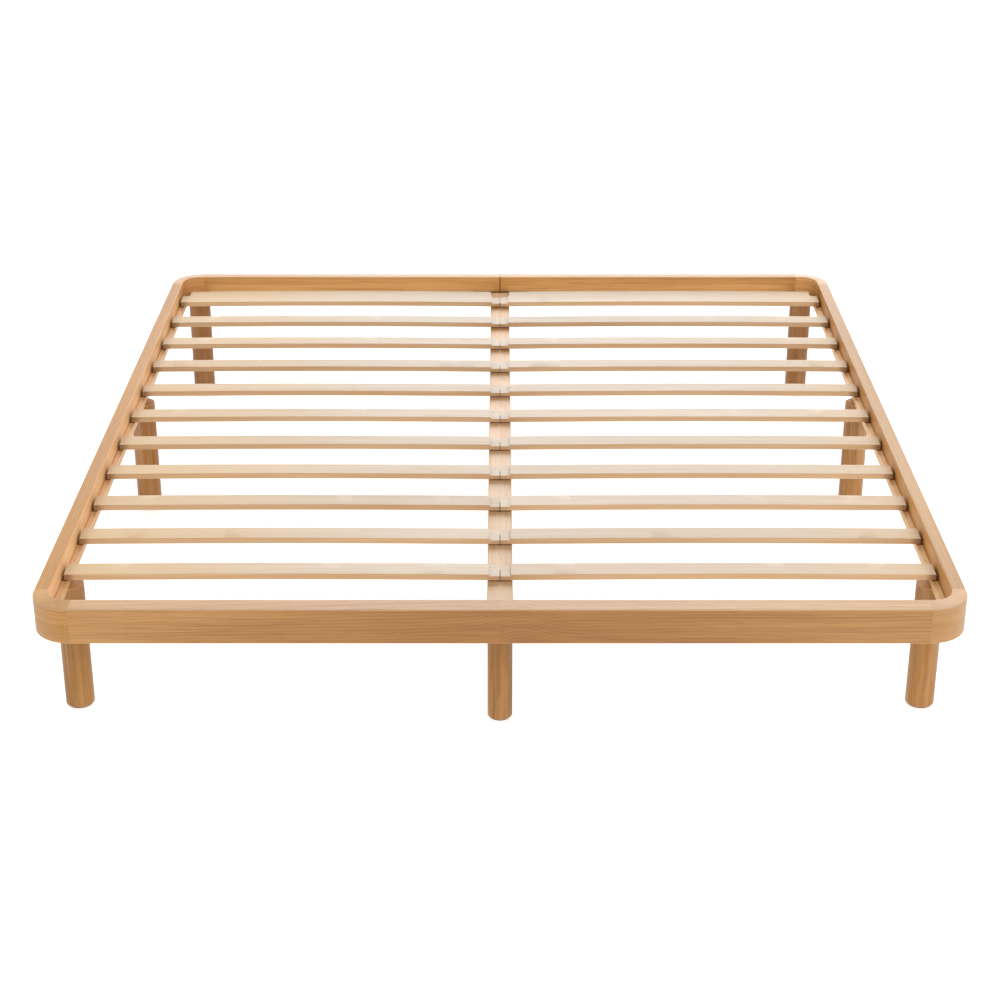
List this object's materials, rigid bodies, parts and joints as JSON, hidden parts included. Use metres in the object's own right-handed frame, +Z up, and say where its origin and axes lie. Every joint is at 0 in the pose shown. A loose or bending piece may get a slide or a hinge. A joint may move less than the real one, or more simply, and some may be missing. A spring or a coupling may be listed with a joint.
{
  "type": "bed frame",
  "caption": "Low wooden platform bed frame: rounded rail ring on round legs, with a centre beam and split rows of crowned slats.",
  "frame": {"origin": "on the floor, under the middle of the frame's outer rectangle", "axes": "+Z up; +Y towards the head end, along the bed; +X towards the right side seen from the foot end"},
  "size_m": [1.86, 2.075, 0.342],
  "materials": {
    "oak": "satin oiled oak, fine straight grain",
    "support_oak": "satin, plain sawn",
    "birch": "smooth satin laminated birch",
    "felt": "dense pressed felt",
    "zinc_steel": "bright zinc plated",
    "bracket_steel": "satin black powder coat",
    "brass": "plain turned",
    "beech": "fluted dowel, unfinished"
  },
  "bodies": {
    "root": {"foot_rail_left": "oak", "foot_rail_right": "oak", "head_rail_left": "oak", "head_rail_right": "oak", "side_rail_left": "oak", "side_rail_right": "oak", "corner_foot_left": "oak", "corner_foot_right": "oak", "corner_head_left": "oak", "corner_head_right": "oak", "ledge_left": "support_oak", "ledge_right": "support_oak", "head_cleat_left": "support_oak", "head_cleat_right": "support_oak", "center_beam": "support_oak", "leg_foot_left": "oak", "leg_foot_right": "oak", "leg_middle_left": "oak", "leg_middle_right": "oak", "leg_head_left": "oak", "leg_head_right": "oak", "beam_leg_foot": "oak", "beam_leg_middle": "oak", "beam_leg_head": "oak", "slat_left_01": "birch", "slat_left_02": "birch", "slat_left_03": "birch", "slat_left_04": "birch", "slat_left_05": "birch", "slat_left_06": "birch", "slat_left_07": "birch", "slat_left_08": "birch", "slat_left_09": "birch", "slat_left_10": "birch", "slat_left_11": "birch", "slat_right_01": "birch", "slat_right_02": "birch", "slat_right_03": "birch", "slat_right_04": "birch", "slat_right_05": "birch", "slat_right_06": "birch", "slat_right_07": "birch", "slat_right_08": "birch", "slat_right_09": "birch", "slat_right_10": "birch", "slat_right_11": "birch", "foot_pads": "felt", "leg_bolts": "zinc_steel", "leg_inserts": "brass", "beam_leg_studs": "zinc_steel", "beam_leg_inserts": "brass", "beam_hanger_foot": "bracket_steel", "beam_hanger_head": "bracket_steel", "hanger_screws": "zinc_steel", "ledge_screws": "zinc_steel", "cleat_screws": "zinc_steel", "rail_dowels": "beech", "slat_pins": "beech", "slat_pads": "felt"}
  },
  "joints": []
}
